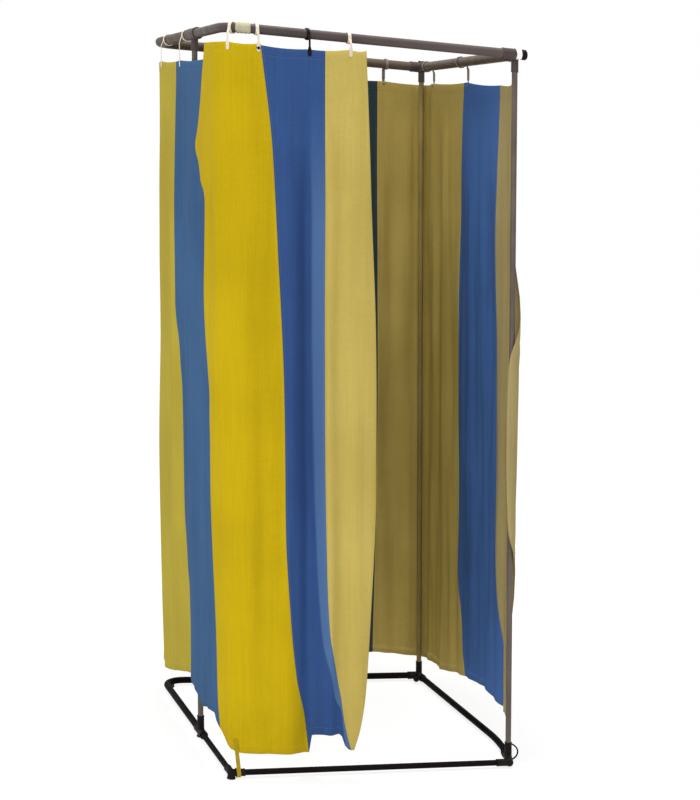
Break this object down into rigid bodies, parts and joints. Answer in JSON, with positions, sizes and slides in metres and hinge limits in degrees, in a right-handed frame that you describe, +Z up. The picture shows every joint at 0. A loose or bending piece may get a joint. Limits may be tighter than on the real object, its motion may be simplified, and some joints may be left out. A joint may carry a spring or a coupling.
{
  "type": "portable fitting room",
  "caption": "Portable fitting room: a knock-down tube frame with a base ring, slim posts and a top rail, hung all round with a striped curtain that draws across the entry.",
  "frame": {"origin": "on the floor, under the middle of the frame", "axes": "+Z up; the entry side faces -Y; +X to the right of someone facing the entry from outside"},
  "size_m": [0.9051, 0.9179, 2.0104],
  "materials": {
    "base_enamel": "semi-gloss black enamel",
    "ring_enamel": "satin bronze-grey enamel",
    "post_enamel": "satin olive-brown enamel",
    "dark_plastic": "matt",
    "white_plastic": "gloss",
    "pale_plastic": "matt",
    "glide_rubber": "matt",
    "elastic": "matt",
    "cloth_sand": "plain weave",
    "cloth_khaki": "plain weave",
    "cloth_blue": "plain weave",
    "cloth_yellow": "plain weave"
  },
  "bodies": {
    "base": {"base_rail_rear": "base_enamel", "base_rail_right": "base_enamel", "base_rod_left": "base_enamel", "base_rod_front": "base_enamel", "base_tee_left": "dark_plastic", "base_elbow_front_left": "dark_plastic", "base_corner_rear_right": "dark_plastic", "base_corner_front_right": "dark_plastic", "glide_rear_left": "glide_rubber", "glide_left": "glide_rubber", "glide_front_left": "glide_rubber", "glide_front_right": "glide_rubber", "glide_rear_right": "glide_rubber", "tie_strap_front_left": "cloth_yellow", "tie_loop_front_right": "elastic"},
    "clamp": {"clamp_screw": "base_enamel", "clamp_knob": "dark_plastic"},
    "posts": {"post_left": "post_enamel", "post_rear_right": "post_enamel", "post_front_right": "post_enamel"},
    "ring": {"top_end_cap": "dark_plastic", "hook_rear_left": "dark_plastic", "hook_rear_middle": "dark_plastic", "hook_rear_right": "dark_plastic", "hook_right_rear": "dark_plastic", "hook_right_middle": "dark_plastic", "curtain_stud": "dark_plastic", "top_rail_rear": "ring_enamel", "top_rail_right": "ring_enamel", "top_rail_front": "ring_enamel", "top_tee_left": "ring_enamel", "top_corner_rear_right": "ring_enamel", "top_corner_front_right": "ring_enamel", "top_lid_rear_right": "pale_plastic", "hook_front_left": "pale_plastic", "hook_corner_front_left": "pale_plastic", "hook_left_front": "pale_plastic", "hook_left_rear": "pale_plastic", "top_end_collar": "white_plastic", "rail_band": "cloth_khaki", "curtain_khaki_rear_left": "cloth_khaki", "curtain_khaki_rear_right": "cloth_khaki", "curtain_khaki_front_right": "cloth_khaki", "curtain_blue_left": "cloth_blue", "curtain_blue_rear": "cloth_blue", "curtain_blue_right": "cloth_blue", "curtain_yellow_corner": "cloth_yellow"},
    "front_follower": {"hook_front_follower": "dark_plastic", "curtain_blue_front": "cloth_blue"},
    "front_lead": {"hook_front_lead": "pale_plastic", "curtain_sand_front": "cloth_sand"}
  },
  "joints": [
    {"name": "clamp_turn", "type": "hinge", "parent": "base", "child": "clamp", "pos_m": [0.399, 0.38, 0.016], "axis": [0, -1, 0], "continuous": true},
    {"name": "posts_lift", "type": "slide", "parent": "base", "child": "posts", "axis": [0, 0, 1], "range_m": [0, 0.045]},
    {"name": "ring_lift", "type": "slide", "parent": "posts", "child": "ring", "axis": [0, 0, 1], "range_m": [0, 0.035]},
    {"name": "front_curtain_draw", "type": "slide", "parent": "ring", "child": "front_lead", "axis": [1, 0, 0], "range_m": [-0.13, 0.4], "deforming": ["curtain_sand_front"]},
    {"name": "front_hook_follow", "type": "slide", "parent": "ring", "child": "front_follower", "axis": [1, 0, 0], "range_m": [-0.072, 0.22], "deforming": ["curtain_blue_front"]}
  ],
  "couplings": [
    {"joint": "front_hook_follow", "follows": "front_curtain_draw", "ratio": 0.54949}
  ]
}
